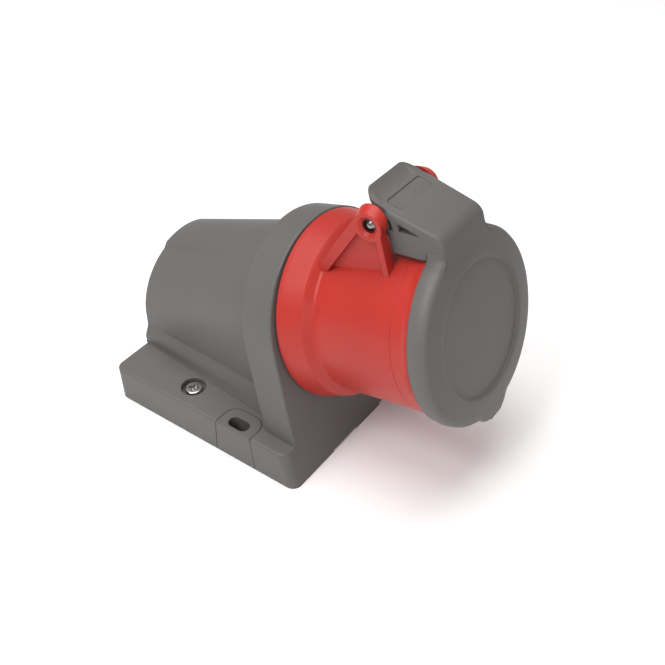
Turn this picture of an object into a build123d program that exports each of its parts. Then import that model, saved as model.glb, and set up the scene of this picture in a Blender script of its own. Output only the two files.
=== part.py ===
"""Wall-mounting pin and sleeve receptacle, 16 A, five poles, with a sprung hinged lid.

The part's own frame: the origin is the centre of the mounting face, +Z points away from the
wall, +X points to the side the socket looks to, and Y runs across. All sizes are in mm.

The socket has a frame of its own, which leans back by the socket tilt. There, z runs along
the socket axis from the front face of the cover, x is the part's Y, and y points upwards.
"""

import os
from math import acos, atan2, cos, degrees, radians, sin, sqrt, tan

from build123d import *

os.makedirs("parts", exist_ok=True)

# Overall sizes
base_length = 99.0
base_width = 104.0
foot_height = 17.0
wall = 3.0
socket_tilt = 15.0
axis_height = 56.4

# Clearances
loose_gap = 0.3
assembly_gap = 0.2
slide_gap = 0.1
running_gap = 0.05

# Foot of the cover
foot_corner_r = 4.0
foot_edge_r = 1.2
drain_notch_inner = 8.6
drain_notch_outer = 25.4
drain_notch_height = 0.9

# Front plate of the cover
plate_depth = 15.0
plate_r = 41.3
plate_drop = 2.8
plate_foot_half_width = base_width / 2 - 6.8
plate_rim_wall = 2.6
plate_face_wall = 3.5
plate_edge_r = 0.7

# Arched housing behind the plate
rear_arch_r = 29.3
rear_arch_height = 30.8
front_arch_r = 33.5
front_arch_drop = 2.0
housing_splay = 1.3
plinth_height = 5.0
plinth_rear_half_width = 31.7
plinth_front_half_width = 36.6
plinth_edge_r = 1.6
roof_band_rear_rise = 1.4
roof_band_front_rise = 0.4
roof_band_rear_angle = 23.5
roof_band_front_angle = 30.0
roof_band_shoulder = 2.5
roof_band_depth = 3.0

# Mounting lugs of the base plate
lug_x = 18.2
lug_inner_y = base_width / 2 - 11.4
lug_half_width = 8.9
lug_corner_r = 5.6
lug_draft = 1.3
lug_gap = 0.25
slot_y = base_width / 2 - 4.3
slot_width = 5.6
slot_length = 9.8

# Base plate and its seal
plate_thickness = 3.0
seal_width = 2.1
seal_height = 2.0
seal_half_width = base_width / 2 - 15.0
seal_front_x = base_length / 2 - 8.5
seal_corner_r = 5.0

# Cover screws
screw_x = -12.2
screw_y = base_width / 2 - 10.2
screw_head_r = 3.8
screw_head_height = 2.4
screw_r = 2.0
screw_recess_r = 5.4
screw_recess_depth = 2.8
screw_pillar_r = 5.4
screw_pillar_gap = 0.6
screw_boss_r = 3.6
screw_boss_height = 5.5
drive_width = 1.0
drive_length = 4.4
drive_depth = 1.4

# Cable entry in the rear wall
entry_r = 12.6
entry_height = 31.0
grommet_lip = 1.8
grommet_rim_rise = 1.5
grommet_membrane = 1.2
grommet_neck_r = 10.0

# Red socket body: flange, collar and hinge ears
flange_gap = 0.65
flange_r = 38.25
flange_rim = 2.2
flange_front = 12.0
flange_front_r = 35.8
collar_start = 14.5
collar_r = 32.85
seam_at = 50.0
seam_r = 34.5
seam_step = 0.35
flare_end = 58.4
flare_r = 36.3
nose_r = 34.0
nose_end = 62.2
bore_r = 29.0
rear_bore_r = 31.1
shoulder_at = 4.5
spigot_r = 33.2
spigot_end = -9.0
keyway_width = 8.0
keyway_depth = 2.3

ear_outer = 18.9
ear_thickness = 3.9
ear_boss_r = 5.6
ear_boss_drop = 0.4
ear_crown_r = 6.1
ear_crown_rise = 1.2
ear_foot_r = 26.5
ear_rear_foot = 14.0
ear_rear_foot_height = 30.2
ear_front_edge = 45.6
rear_leg_width = 4.0
front_leg_width = 2.4
ear_web = 1.6
ear_sink_r = 4.0
ear_sink_depth = 1.1
ear_recess_r = 2.75
ear_recess_depth = 1.0

# Hinge
hinge_s = 40.35
hinge_up = 47.6
pin_r = 2.0

# Ring nut and flange seal
nut_r = 35.6
nut_length = 5.0
nut_notches = 6
nut_notch_width = 4.0
nut_notch_depth = 1.2
flange_seal_r = 37.4

# Contact carrier
carrier_r = 25.2
carrier_end = 57.0
carrier_flange_r = 30.9
carrier_flange_back = 0.5
entry_plate_thickness = 2.5
entry_plate_r = 23.6
pitch_r = 14.5
pole_count = 5
retainer_thickness = 3.5
clamp_ring_length = 3.5
clamp_ring_inner_r = 26.0
retainer_screw_r = 1.5
retainer_screw_head_r = 2.7
retainer_screw_head = 1.6
retainer_screw_pitch_r = 21.6
retainer_screw_length = 6.0

# Contact sleeves
line_pin_r = 2.5
earth_pin_r = 3.5
pin_fit = 0.05
entry_play = 0.6
sleeve_wall = 1.45
sleeve_bore_depth = 30.0
sleeve_slit = 0.8
sleeve_slit_depth = 18.0
sleeve_play = 1.0
spring_ring_thickness = 0.8
spring_ring_width = 2.4
spring_ring_set_back = 6.0
spring_ring_opening = 30.0
shoulder_lip = 1.2
shoulder_length = 3.0
terminal_r = 4.4
terminal_end = -15.0
wire_hole_r = 1.9
wire_hole_depth = 9.0
terminal_screw_r = 1.6
terminal_screw_head_r = 2.4
terminal_screw_head = 1.5
terminal_screw_set_back = 5.0

# Lid
lid_rear = 58.8
lid_rear_r = 36.9
lid_belly = 62.5
lid_belly_r = 37.4
lid_edge = 66.3
lid_edge_r = 35.4
lid_face = 67.3
lid_wall = 2.4
lid_skirt_inner_r = 35.4
recess_r = 25.7
recess_depth = 0.9
recess_slope = 1.6
lip_half_width = 6.0
lip_reach = 39.4
lip_depth = 4.2
lip_corner_r = 3.2

# Lid arm and thumb tab
arm_half_width = 13.8
arm_cheek = 2.8
arm_top_rear_s = 44.0
arm_top_rear_up = 53.6
arm_top_front_s = 65.0
arm_top_front_up = 43.0
arm_top_thickness = 3.0
arm_nose_r = 3.0
arm_edge_r = 1.2
arm_bottom_rear_s = 45.0
arm_bottom_rear_up = 35.8
arm_bottom_front_up = 34.0
arm_barrel_r = 5.0
arm_window_front_s = 57.5
arm_window_drop = 4.6
arm_rib_s = 48.4
arm_rib_width = 1.8
arm_gap = 0.6
tab_rear_s = 37.3
tab_lip_rise = 2.4
tab_lip_length = 6.3
tab_lip_r = 1.2
tab_half_width = 12.7
tab_corner_r = 5.0
tab_blend_length = 2.5
groove_length = 5.4
groove_depth = 0.6
groove_half_width = 10.4
groove_corner_r = 1.6

# Lid seal and lid spring
lid_seal_outer_r = 33.6
lid_seal_inner_r = 29.6
lid_seal_gap = 0.3
spring_wire = 1.2
spring_mean_r = 3.2
spring_turns = 4
spring_pitch = 1.1
spring_leg_r = 0.57
spring_arm_leg = 8.0
spring_collar_leg = 12.6
spring_collar_leg_angle = 272.0

# Values worked out from the sizes above
tilt = radians(socket_tilt)
front_x = base_length / 2
rear_x = -base_length / 2
face_x = front_x - axis_height * tan(tilt)
foot_top_up = (foot_height - axis_height) / cos(tilt)
floor_z = plate_thickness + assembly_gap
inner_half_width = base_width / 2 - wall
roof_z = foot_height - wall
pole_angles = [-90 + 360 / pole_count * i for i in range(pole_count)]
arm_slope = (arm_top_front_up - arm_top_rear_up) / (arm_top_front_s - arm_top_rear_s)

SOCKET = Plane(origin=(face_x, 0, axis_height), x_dir=(0, 1, 0), z_dir=(cos(tilt), 0, sin(tilt)))
SIDE = Plane(origin=(0, 0, 0), x_dir=(0, 0, 1), z_dir=(-1, 0, 0))


def save(shape, node):
    """Write one node's file."""
    export_step(shape, f"parts/{node}.step")


def in_place(shape):
    """Move a shape from the socket's frame to the part's frame."""
    return SOCKET.location * shape


def outline(points):
    """A flat face inside straight lines through the points."""
    return make_face(Polyline(*points, close=True))


def turned(points):
    """A solid turned about the local z axis from (radius, z) points."""
    return revolve(Plane.XZ * outline(points), Axis.Z)


def disc(radius, low, high):
    """A cylinder about the local z axis between two heights."""
    return Pos(0, 0, low) * extrude(Circle(radius), high - low)


def ring(outer, inner, low, high):
    """A flat ring about the local z axis between two heights."""
    return Pos(0, 0, low) * extrude(Circle(outer) - Circle(inner), high - low)


def block(low, high):
    """A box from its lowest corner to its highest."""
    size = [b - a for a, b in zip(low, high)]
    middle = [(a + b) / 2 for a, b in zip(low, high)]
    return Pos(*middle) * Box(*size)


def across(face, low, high):
    """Extrude an outline in (along, up) across the socket frame from x low to x high."""
    return Pos(high, 0, 0) * extrude(SIDE * face, high - low)


def tangent_point(point, centre, radius):
    """The upper tangent point of a circle seen from a point to its right."""
    reach = sqrt((point[0] - centre[0]) ** 2 + (point[1] - centre[1]) ** 2)
    angle = atan2(point[1] - centre[1], point[0] - centre[0]) + acos(radius / reach)
    return centre[0] + radius * cos(angle), centre[1] + radius * sin(angle)


def pole_place(angle):
    """The place of one contact on the pitch circle."""
    return Pos(pitch_r * cos(radians(angle)), pitch_r * sin(radians(angle)), 0)


def pin_radius(angle):
    """The earth pin sits at the lowest place and is the thickest."""
    return earth_pin_r if angle == pole_angles[0] else line_pin_r


# Cover

def plate_outline(inset):
    """The front plate's outline: an arch whose sides run down to the foot."""
    radius = plate_r - inset
    foot = (plate_foot_half_width - inset, foot_top_up)
    touch = tangent_point(foot, (0, -plate_drop), radius)
    sink = (foot[1] - touch[1]) * 1.12
    low = (touch[0] + (foot[0] - touch[0]) * 1.12, touch[1] + sink)
    flanks = outline([touch, low, (-low[0], low[1]), (-touch[0], touch[1])])
    return Pos(0, -plate_drop) * Circle(radius) + flanks


def arch_section(radius, centre_up, foot_half_width, foot_up):
    """A closed arch: a half circle on top of two straight sides."""
    left = (-radius, centre_up)
    right = (radius, centre_up)
    path = Line((-foot_half_width, foot_up), (foot_half_width, foot_up))
    path += Line((foot_half_width, foot_up), right)
    path += ThreePointArc(right, (0, centre_up + radius), left)
    path += Line(left, (-foot_half_width, foot_up))
    return make_face(path)


def arch_loft(inset, rear_at, front_at, foot_z):
    """The tapering hood from the upright rear arch to the leaning front arch."""
    rear_r = rear_arch_r - inset
    front_r = front_arch_r - inset
    rear_plane = Plane(origin=(rear_at, 0, 0), x_dir=(0, 1, 0), z_dir=(1, 0, 0))
    rear = rear_plane * arch_section(rear_r, rear_arch_height, rear_r + housing_splay / 2, foot_z)
    foot_up = (foot_z - axis_height + front_at * -sin(tilt)) / cos(tilt)
    front = arch_section(front_r, -front_arch_drop, front_r + housing_splay, foot_up)
    return loft([rear, SOCKET * (Pos(0, 0, front_at) * front)], ruled=True)


def band_section(radius, centre_up, half_angle, rise):
    """One end of the raised band along the roof, with sloping shoulders."""
    edge = radians(half_angle - roof_band_shoulder)
    root = radians(half_angle + roof_band_shoulder)
    outer = radius + rise
    inner = radius - roof_band_depth
    crown = (outer * sin(edge), centre_up + outer * cos(edge))
    foot = (radius * sin(root), centre_up + radius * cos(root))
    low = (inner * sin(root), centre_up + inner * cos(root))
    path = Polyline(crown, foot, low, (-low[0], low[1]), (-foot[0], foot[1]), (-crown[0], crown[1]))
    path += ThreePointArc((-crown[0], crown[1]), (0, centre_up + outer), crown)
    return make_face(path)


def roof_band():
    """The raised band that widens and fades along the roof."""
    rear_plane = Plane(origin=(rear_x, 0, 0), x_dir=(0, 1, 0), z_dir=(1, 0, 0))
    rear = rear_plane * band_section(
        rear_arch_r, rear_arch_height, roof_band_rear_angle, roof_band_rear_rise)
    front = band_section(
        front_arch_r, -front_arch_drop, roof_band_front_angle, roof_band_front_rise)
    return loft([rear, SOCKET * (Pos(0, 0, -plate_depth + 1) * front)], ruled=True)


def foot_block(inset, low, high):
    """The foot's outer form, or the hollow inside it: a block with a leaning front."""
    lean = tan(tilt)
    front = front_x - inset / cos(tilt)
    points = [(rear_x + inset, low), (front - low * lean, low), (front - high * lean, high)]
    points.append((rear_x + inset, high))
    half = base_width / 2 - inset
    solid = Pos(0, half, 0) * extrude(Plane.XZ * outline(points), 2 * half)
    uprights = [e for e in solid.edges() if e.bounding_box().size.Z > (high - low) * 0.9]
    return fillet(uprights, foot_corner_r - inset if foot_corner_r > inset + 0.5 else 0.5)


def lug_prism(side, grow, low, high):
    """The drafted, round-cornered plug that a mounting lug fills, reaching past the side."""
    ends = []
    for z in (low, high):
        spread = lug_draft * (1 - z / foot_height) + grow
        half = lug_half_width + spread
        inner = lug_inner_y - spread
        outer = base_width / 2 + lug_corner_r * 2
        section = RectangleRounded(2 * half, outer - inner, lug_corner_r + grow)
        ends.append(Pos(lug_x, side * (inner + outer) / 2, z) * section)
    return loft(ends, ruled=True)


def cover_shell():
    """The outer form of the cover, before anything is taken out."""
    foot = foot_block(0, 0, foot_height)
    top_edges = foot.edges().filter_by(lambda e: e.bounding_box().min.Z > foot_height - 0.01)
    foot = fillet(top_edges, foot_edge_r)
    plinth_top = foot_height + plinth_height
    lean_x = front_x - foot_height * tan(tilt) - plate_depth / 2
    plan = outline([
        (rear_x, plinth_rear_half_width),
        (lean_x, plinth_front_half_width),
        (lean_x, -plinth_front_half_width),
        (rear_x, -plinth_rear_half_width),
    ])
    plinth = Pos(0, 0, foot_height - wall) * extrude(plan, plinth_height + wall)
    long_top = plinth.edges().filter_by(
        lambda e: e.bounding_box().min.Z > plinth_top - 0.01 and e.bounding_box().size.X > 10
    )
    plinth = fillet(long_top, plinth_edge_r)
    plate = Pos(0, 0, -plate_depth) * extrude(plate_outline(0), plate_depth)
    rims = [e for e in plate.edges() if e.center().Y > foot_top_up and e.bounding_box().size.Z < 0.01]
    plate = fillet(rims, plate_edge_r)
    hood = arch_loft(0, rear_x, -plate_depth + 1, foot_height - wall)
    return foot + plinth + in_place(plate) + hood + roof_band()


def cover_hollow():
    """The wiring space: hood, plate and foot hollows in one."""
    hood = arch_loft(wall, rear_x + wall, -plate_face_wall - 3, roof_z - 2)
    plate_space = extrude(plate_outline(plate_rim_wall), plate_depth - plate_face_wall - wall)
    plate_space = in_place(Pos(0, 0, wall - plate_depth) * plate_space)
    foot_space = foot_block(wall, -1, roof_z)
    return hood, plate_space, foot_space


def seal_loop(grow, low, high):
    """A rounded rectangular ring that follows the seal's path."""
    back = rear_x + wall + 1.0
    length = seal_front_x - back
    middle = (seal_front_x + back) / 2
    outer = RectangleRounded(length + 2 * grow, 2 * seal_half_width + 2 * grow, seal_corner_r + grow)
    inner_r = seal_corner_r - seal_width
    inner = RectangleRounded(length - 2 * seal_width, 2 * (seal_half_width - seal_width), inner_r)
    return Pos(middle, 0, low) * extrude(outer - inner, high - low)


def housing_cover():
    """The grey cover: foot, arched hood and leaning front plate in one moulding."""
    cover = cover_shell()
    hood, plate_space, foot_space = cover_hollow()
    cover = cover - hood - plate_space - foot_space
    skirt_low = plate_thickness + seal_height
    seal_rib = seal_loop(0, skirt_low, roof_z + 0.5)
    rear_fill = block((rear_x + wall - 0.5, -seal_half_width + 4, skirt_low),
                      (rear_x + wall + 1.2, seal_half_width - 4, roof_z + 0.5))
    cover = cover + seal_rib + rear_fill
    for side in (-1, 1):
        pocket_wall = lug_prism(side, lug_gap + 2.0, floor_z, roof_z + 0.5)
        pocket_wall &= block((-front_x, -base_width / 2 + 1, 0), (front_x, base_width / 2 - 1, foot_height))
        cover = cover + pocket_wall
        cover -= lug_prism(side, lug_gap, -0.5, foot_height + 0.5)
        pillar = Pos(screw_x, side * screw_y, 0) * disc(
            screw_pillar_r, plate_thickness + screw_boss_height + screw_pillar_gap, roof_z + 0.5)
        cover = cover + pillar
        recess_floor = foot_height - screw_recess_depth
        cover -= Pos(screw_x, side * screw_y, 0) * disc(screw_recess_r, recess_floor, foot_height + 1)
        cover -= Pos(screw_x, side * screw_y, 0) * disc(screw_r + assembly_gap, 0, foot_height)
        notch_low = (0, side * drain_notch_inner, -1)
        notch_high = (front_x + 1, side * drain_notch_outer, drain_notch_height)
        low = [min(a, b) for a, b in zip(notch_low, notch_high)]
        high = [max(a, b) for a, b in zip(notch_low, notch_high)]
        low[0] = front_x - 2 * wall
        cover -= block(low, high)
    cover -= in_place(disc(spigot_r + assembly_gap, -plate_face_wall - 0.5, 1))
    entry = Plane(origin=(rear_x - 1, 0, entry_height), x_dir=(0, 1, 0), z_dir=(1, 0, 0))
    cover -= entry.location * disc(entry_r, 0, wall + 2)
    return cover


# Base plate, seal and screws

def base_plate():
    """The back plate with its two lugs, screw bosses and seal bed."""
    inset = wall + loose_gap
    plate = foot_block(inset, 0, plate_thickness)
    for side in (-1, 1):
        lug = lug_prism(side, 0, 0, foot_height)
        lug &= foot_block(0, 0, foot_height)
        plate = plate + lug
        boss = Pos(screw_x, side * screw_y, 0) * disc(
            screw_boss_r, 0, plate_thickness + screw_boss_height)
        plate = plate + boss
        bore_low = screw_floor() - 0.5
        plate -= Pos(screw_x, side * screw_y, 0) * disc(
            screw_r + running_gap, bore_low, foot_height)
        slot = Pos(lug_x, side * slot_y, -1) * extrude(
            SlotOverall(slot_length, slot_width), foot_height + 2)
        plate -= slot
    return plate


def screw_floor():
    """The height at which the cover screws end."""
    return 1.6


def housing_seal():
    """The rubber ring between the base plate and the cover."""
    return seal_loop(0, plate_thickness, plate_thickness + seal_height)


def cover_screws():
    """Two pan head screws with a cross recess."""
    seat = foot_height - screw_recess_depth
    screws = []
    for side in (-1, 1):
        head = disc(screw_head_r, seat, seat + screw_head_height)
        head = fillet(head.edges().group_by(Axis.Z)[-1], 0.8)
        screw = head + disc(screw_r, screw_floor(), seat + 0.5)
        top = seat + screw_head_height
        for angle in (0, 90):
            cross = block((-drive_length / 2, -drive_width / 2, top - drive_depth),
                          (drive_length / 2, drive_width / 2, top + 1))
            screw -= Rot(0, 0, angle + 25) * cross
        screws.append(Pos(screw_x, side * screw_y, 0) * screw)
    return Compound(children=screws)


def entry_grommet():
    """The low rubber grommet that closes the cable entry with a thin membrane."""
    outside = -grommet_rim_rise
    inside = wall + assembly_gap
    profile = [
        (0, outside + 0.4),
        (grommet_neck_r - 3, outside + 0.4),
        (grommet_neck_r - 1.5, outside),
        (entry_r + grommet_lip - 0.6, outside),
        (entry_r + grommet_lip, outside + 0.6),
        (entry_r + grommet_lip, 0),
        (entry_r - slide_gap, 0),
        (entry_r - slide_gap, inside),
        (entry_r + grommet_lip * 0.6, inside),
        (entry_r - 0.4, inside + 2.4),
        (grommet_neck_r, inside + 2.4),
        (grommet_neck_r - 2, outside + 0.4 + grommet_membrane),
        (0, outside + 0.4 + grommet_membrane),
    ]
    entry = Plane(origin=(rear_x, 0, entry_height), x_dir=(0, 1, 0), z_dir=(1, 0, 0))
    return entry.location * turned(profile)


# Red socket body

def collar_barrel():
    """Flange, collar and threaded spigot, turned in one piece."""
    profile = [
        (rear_bore_r, spigot_end),
        (spigot_r, spigot_end),
        (spigot_r, flange_gap),
        (flange_r - 0.5, flange_gap),
        (flange_r, flange_gap + 0.5),
        (flange_r - 0.25, flange_gap + flange_rim),
        (flange_front_r + 0.25, flange_front - 0.5),
        (flange_front_r - 0.5, flange_front + 0.3),
        (collar_r + 0.4, collar_start - 0.3),
        (collar_r + 0.1, collar_start + 0.6),
        (seam_r, seam_at),
        (seam_r - seam_step, seam_at),
        (seam_r - seam_step, seam_at + 0.5),
        (seam_r + 0.15, seam_at + 0.5),
        (seam_r + 0.35, flare_end - 3.5),
        (seam_r + 0.9, flare_end - 1.6),
        (flare_r, flare_end - 0.4),
        (flare_r, flare_end),
        (nose_r, flare_end),
        (nose_r, nose_end - 0.5),
        (nose_r - 0.5, nose_end),
        (bore_r + 0.8, nose_end),
        (bore_r, nose_end - 0.8),
        (bore_r, shoulder_at),
        (rear_bore_r, shoulder_at),
    ]
    return turned(profile)


def ear_outline(pocket):
    """The outline of the ear's legs, or that of the pocket between them."""
    centre = (hinge_s, hinge_up)
    boss = Pos(*centre) * Circle(ear_boss_r)
    foot = (ear_rear_foot, ear_rear_foot_height)
    slope = atan2(hinge_up - foot[1], hinge_s - foot[0])
    reach = sqrt((hinge_s - foot[0]) ** 2 + (hinge_up - foot[1]) ** 2)
    lift = atan2(ear_boss_r, reach)
    touch = (hinge_s - ear_boss_r * sin(slope + lift), hinge_up + ear_boss_r * cos(slope + lift))
    front_touch = (hinge_s + ear_boss_r * 0.86, hinge_up + ear_boss_r * 0.5)
    legs = outline([
        (foot[0], ear_foot_r),
        foot,
        touch,
        centre,
        front_touch,
        (ear_front_edge - 0.6, ear_foot_r + 3),
        (ear_front_edge - 0.6, ear_foot_r),
    ])
    if not pocket:
        return legs
    along = (touch[0] - foot[0], touch[1] - foot[1])
    length = sqrt(along[0] ** 2 + along[1] ** 2)
    shift = rear_leg_width * length / along[0]
    front = ear_front_edge - 0.6 - front_leg_width
    low_s = foot[0] + 1.0
    opening = outline([
        (low_s, foot[1] + (low_s - foot[0]) * along[1] / along[0] - shift),
        (front, foot[1] + (front - foot[0]) * along[1] / along[0] - shift),
        (front, ear_foot_r - 3),
        (low_s, ear_foot_r - 3),
    ])
    return opening - boss


def hinge_ear(side):
    """One hinge ear: a crowned boss on two legs with a thin web between them."""
    inner = ear_outer - ear_thickness
    boss_plane = Plane(origin=(ear_outer, 0, 0), x_dir=(0, 0, 1), z_dir=(-1, 0, 0))
    boss = loft([
        boss_plane * (Pos(hinge_s, hinge_up - ear_boss_drop) * Circle(ear_boss_r)),
        boss_plane * (Pos(hinge_s, hinge_up + ear_crown_rise, ear_thickness) * Circle(ear_crown_r)),
    ], ruled=True)
    ear = across(ear_outline(False), inner, ear_outer) + boss
    pocket = across(ear_outline(True), inner + ear_web, ear_outer + 1)
    ear -= pocket
    hole = SIDE * (Pos(hinge_s, hinge_up) * Circle(pin_r + running_gap))
    ear -= Pos(ear_outer + 1, 0, 0) * extrude(hole, ear_thickness + 2)
    recess = SIDE * (Pos(hinge_s, hinge_up) * Circle(ear_recess_r))
    recess_floor = ear_outer - ear_sink_depth - ear_recess_depth
    ear -= Pos(ear_outer + 1, 0, 0) * extrude(recess, ear_outer + 1 - recess_floor)
    sink = Plane(origin=(ear_outer, hinge_up, hinge_s), z_dir=(-1, 0, 0))
    cone = Cone(ear_sink_r, ear_recess_r, ear_sink_depth, align=(Align.CENTER, Align.CENTER, Align.MIN))
    ear -= sink.location * cone
    return ear if side > 0 else mirror(ear, Plane.YZ)


def socket_collar():
    """The red socket body with its flange, collar, keyway and hinge ears."""
    body = collar_barrel()
    clear_bore = disc(bore_r + 0.01, shoulder_at, nose_end + 1)
    for side in (-1, 1):
        body = body + (hinge_ear(side) - clear_bore)
    key = block((-keyway_width / 2, -bore_r - keyway_depth, shoulder_at),
                (keyway_width / 2, -bore_r + 2, nose_end + 1))
    body -= key
    return in_place(body)


def flange_seal():
    """The thin rubber ring between the flange and the cover's face."""
    return in_place(ring(flange_seal_r, spigot_r + assembly_gap, 0, flange_gap))


def collar_nut():
    """The notched ring nut that clamps the socket body to the cover."""
    top = -plate_face_wall
    nut = ring(nut_r, spigot_r + running_gap, top - nut_length, top)
    for i in range(nut_notches):
        notch = block((nut_r - nut_notch_depth, -nut_notch_width / 2, top - nut_length - 1),
                      (nut_r + 1, nut_notch_width / 2, top - nut_length / 2))
        nut -= Rot(0, 0, 360 / nut_notches * i) * notch
    return in_place(nut)


# Contact insert

def contact_carrier():
    """The insulating carrier with one stepped bore for each contact."""
    profile = [
        (0, carrier_flange_back),
        (carrier_flange_r, carrier_flange_back),
        (carrier_flange_r, shoulder_at),
        (carrier_r, shoulder_at),
        (carrier_r, carrier_end - 0.8),
        (carrier_r - 0.8, carrier_end),
        (0, carrier_end),
    ]
    carrier = turned(profile)
    carrier -= disc(entry_plate_r + assembly_gap, carrier_end - entry_plate_thickness, carrier_end + 1)
    for angle in pole_angles:
        sleeve_r = pin_radius(angle) + sleeve_wall
        shoulder_r = sleeve_r + sleeve_play + shoulder_lip
        place = pole_place(angle)
        carrier -= place * disc(sleeve_r + sleeve_play, carrier_flange_back - 1, carrier_end + 1)
        carrier -= place * disc(
            shoulder_r + slide_gap, carrier_flange_back - 1, carrier_flange_back + shoulder_length)
    for place in retainer_screw_places():
        low = carrier_flange_back - 0.5
        carrier -= place * disc(retainer_screw_r + running_gap, low, shoulder_at - 0.4)
    return in_place(carrier)


def entry_plate():
    """The plate in the carrier's face that leaves only the pins' own holes open."""
    plate = disc(entry_plate_r, carrier_end - entry_plate_thickness, carrier_end)
    for angle in pole_angles:
        plate -= pole_place(angle) * disc(
            pin_radius(angle) + entry_play, carrier_end - entry_plate_thickness - 1, carrier_end + 1)
    return in_place(plate)


def retainer_screw_places():
    """The two places between contacts where the retainer is screwed on."""
    step = 360 / pole_count
    angles = [pole_angles[0] + step / 2, pole_angles[0] - step / 2]
    return [Pos(retainer_screw_pitch_r * cos(radians(a)), retainer_screw_pitch_r * sin(radians(a)), 0)
            for a in angles]


def contact_retainer():
    """The plate behind the carrier that holds the contacts' shoulders."""
    back = carrier_flange_back - retainer_thickness
    plate = disc(carrier_flange_r, back, carrier_flange_back)
    for angle in pole_angles:
        plate -= pole_place(angle) * disc(
            terminal_radius(angle) + slide_gap, back - 1, carrier_flange_back + 1)
    for place in retainer_screw_places():
        plate -= place * disc(retainer_screw_r + assembly_gap, back - 1, carrier_flange_back + 1)
    return in_place(plate)


def retainer_screws():
    """The two screws that join the retainer to the carrier."""
    back = carrier_flange_back - retainer_thickness
    screws = []
    for place in retainer_screw_places():
        screw = disc(retainer_screw_head_r, back - retainer_screw_head, back)
        screw += disc(retainer_screw_r, back - 0.2, back + retainer_screw_length)
        slit = block((-retainer_screw_head_r - 1, -0.4, back - retainer_screw_head - 1),
                     (retainer_screw_head_r + 1, 0.4, back - retainer_screw_head + 0.8))
        screws.append(in_place(place * (screw - slit)))
    return Compound(children=screws)


def insert_clamp_ring():
    """The ring that holds the whole insert against the collar's shoulder."""
    back = carrier_flange_back - retainer_thickness
    return in_place(ring(rear_bore_r - running_gap, clamp_ring_inner_r, back - clamp_ring_length, back))


def terminal_radius(angle):
    """The earth terminal is a little thicker than the others."""
    return terminal_r + pin_radius(angle) - line_pin_r


def contact_sleeve(angle):
    """One brass contact: a slit sleeve in front, a screw terminal behind."""
    r = pin_radius(angle)
    sleeve_r = r + sleeve_wall
    front = carrier_end - entry_plate_thickness - assembly_gap
    guide_end = front - sleeve_bore_depth
    shoulder_front = carrier_flange_back + shoulder_length
    shoulder_r = sleeve_r + sleeve_play + shoulder_lip
    terminal = terminal_radius(angle)
    screw_at = terminal_end + terminal_screw_set_back
    contact = turned([
        (0, terminal_end),
        (terminal, terminal_end),
        (terminal, carrier_flange_back),
        (shoulder_r, carrier_flange_back),
        (shoulder_r, shoulder_front),
        (sleeve_r + sleeve_play - slide_gap, shoulder_front),
        (sleeve_r + sleeve_play - slide_gap, guide_end),
        (sleeve_r, guide_end),
        (sleeve_r, front - 0.4),
        (sleeve_r - 0.4, front),
        (r + pin_fit, front),
        (r + pin_fit, guide_end + 0.5),
        (0, guide_end - 1),
    ])
    for turn in (45, 135):
        slit = block((-sleeve_r - 1, -sleeve_slit / 2, front - sleeve_slit_depth),
                     (sleeve_r + 1, sleeve_slit / 2, front + 1))
        contact -= Rot(0, 0, turn) * slit
    contact -= disc(wire_hole_r, terminal_end - 1, terminal_end + wire_hole_depth)
    hole = Pos(0, 0, screw_at) * (Rot(0, 90, 0) * disc(terminal_screw_r + running_gap, 0, terminal + 1))
    contact -= hole
    return in_place(pole_place(angle) * (Rot(0, 0, angle) * contact))


def contact_springs():
    """The open steel rings that press the slit sleeves onto the pins."""
    rings = []
    for angle in pole_angles:
        inner = pin_radius(angle) + sleeve_wall
        front = carrier_end - entry_plate_thickness - assembly_gap - spring_ring_set_back
        band = ring(inner + spring_ring_thickness, inner, front - spring_ring_width, front)
        gap = radians(spring_ring_opening / 2)
        reach = inner + 3
        wedge = outline([(0, 0), (reach * cos(gap), reach * sin(gap)), (reach * cos(gap), -reach * sin(gap))])
        band -= Pos(0, 0, front - spring_ring_width - 1) * extrude(wedge, spring_ring_width + 2)
        rings.append(in_place(pole_place(angle) * (Rot(0, 0, angle) * band)))
    return Compound(children=rings)


def terminal_screws():
    """One clamping screw for each terminal, driven in from the outside."""
    screws = []
    for angle in pole_angles:
        terminal = terminal_radius(angle)
        screw = disc(terminal_screw_r, wire_hole_r * 0.6, terminal + 0.6)
        screw += disc(terminal_screw_head_r, terminal + 0.5, terminal + 0.5 + terminal_screw_head)
        top = terminal + 0.5 + terminal_screw_head
        screw -= block((-terminal_screw_head_r - 1, -0.35, top - 0.8), (terminal_screw_head_r + 1, 0.35, top + 1))
        upright = Pos(0, 0, terminal_end + terminal_screw_set_back) * (Rot(0, 90, 0) * screw)
        screws.append(in_place(pole_place(angle) * (Rot(0, 0, angle) * upright)))
    return Compound(children=screws)


# Lid

def arm_top_at(s):
    """The height of the arm's top face at a place along the axis."""
    return arm_top_rear_up + arm_slope * (s - arm_top_rear_s)


def lid_disc():
    """The round lid with its skirt and its shallow dished face."""
    inner_face = lid_face - lid_wall
    profile = [
        (0, inner_face),
        (lid_skirt_inner_r, inner_face),
        (lid_skirt_inner_r, lid_rear + 0.3),
        (lid_skirt_inner_r + 0.3, lid_rear),
        (lid_rear_r, lid_rear),
        (lid_belly_r - 0.1, lid_belly - 1.8),
        (lid_belly_r, lid_belly),
        (lid_belly_r - 0.3, lid_edge - 1.6),
        (lid_edge_r + 0.9, lid_edge - 0.5),
        (lid_edge_r, lid_edge),
        (recess_r + recess_slope, lid_face - 0.05),
        (recess_r + recess_slope * 0.6, lid_face - 0.15),
        (recess_r, lid_face - recess_depth),
        (0, lid_face - recess_depth),
    ]
    return turned(profile)


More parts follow.
